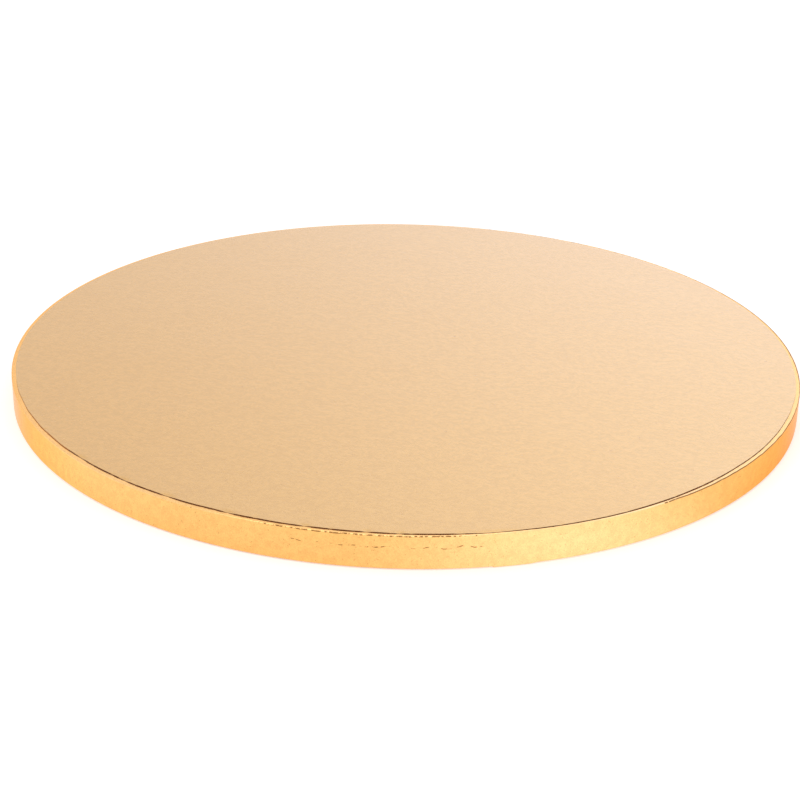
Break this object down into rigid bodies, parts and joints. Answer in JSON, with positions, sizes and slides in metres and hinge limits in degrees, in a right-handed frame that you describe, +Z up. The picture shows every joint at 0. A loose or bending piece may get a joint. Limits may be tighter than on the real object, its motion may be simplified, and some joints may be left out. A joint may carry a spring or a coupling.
{
  "type": "cake board",
  "caption": "Round flat board: a stiff disc wrapped in gold foil paper, its edge band rolled over the rims, for standing and carrying a cake on",
  "frame": {"origin": "Centre of the round face that the board stands on", "axes": "+Z up through the board's thickness, square to both faces; -Y towards the viewer of the picture, +X to the viewer's right"},
  "size_m": [0.3048, 0.3048, 0.0127],
  "materials": {
    "grey_board": "rough unbleached board",
    "bright_foil_paper": "bright gold foil paper",
    "satin_foil_paper": "satin champagne gold foil paper",
    "plain_paper": "matte white paper"
  },
  "bodies": {
    "root": {"core_board": "grey_board", "edge_band": "bright_foil_paper", "top_sheet": "satin_foil_paper", "base_sheet": "plain_paper"}
  },
  "joints": []
}
